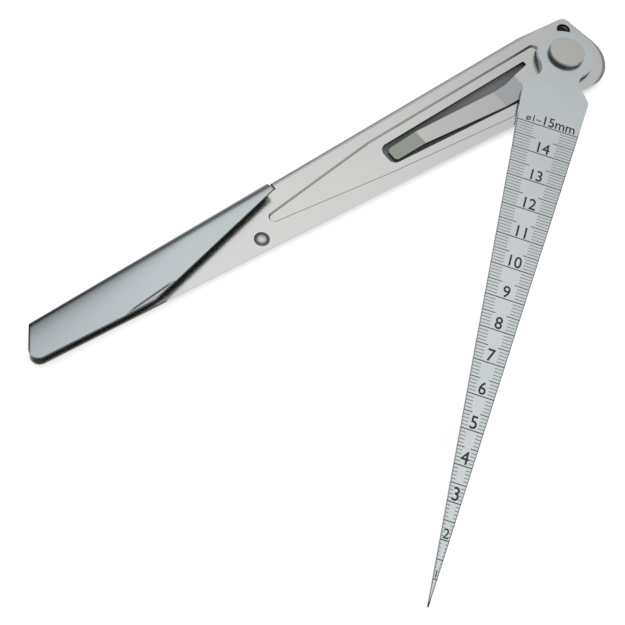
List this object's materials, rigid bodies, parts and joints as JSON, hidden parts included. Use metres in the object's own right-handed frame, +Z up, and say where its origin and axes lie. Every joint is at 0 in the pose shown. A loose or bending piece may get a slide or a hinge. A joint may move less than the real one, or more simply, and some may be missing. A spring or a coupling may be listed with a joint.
{
  "type": "folding taper gauge",
  "caption": "Folding taper gauge: a long tapered steel blade on a rivet, which swings out of a folded sheet steel holder with a pocket, a spring tongue and a lanyard hole.",
  "frame": {"origin": "under the middle of the box around the open gauge, on the table it lies on", "axes": "+X along the holder's spine towards the pivot, +Y from the blade's side to the spine's side, +Z up, out of the graduated face"},
  "size_m": [0.1574, 0.092, 0.0054],
  "materials": {
    "holder_steel": "satin rolled stainless sheet",
    "blade_steel": "satin stainless with dark engraved graduations",
    "rivet_steel": "turned face with a small bright chamfer",
    "washer_steel": "plain spring steel",
    "stud_steel": "polished dome"
  },
  "bodies": {
    "holder_body": {"holder": "holder_steel", "pivot_rivet": "rivet_steel", "friction_washer": "washer_steel", "keeper_stud": "stud_steel"},
    "blade_body": {"gauge_blade": "blade_steel"}
  },
  "joints": [
    {"name": "blade_swing", "type": "hinge", "parent": "holder_body", "child": "blade_body", "pos_m": [0.06868, 0.03518, 0.00322], "axis": [0, 0, 1], "range_deg": [-38.7, 314]}
  ]
}
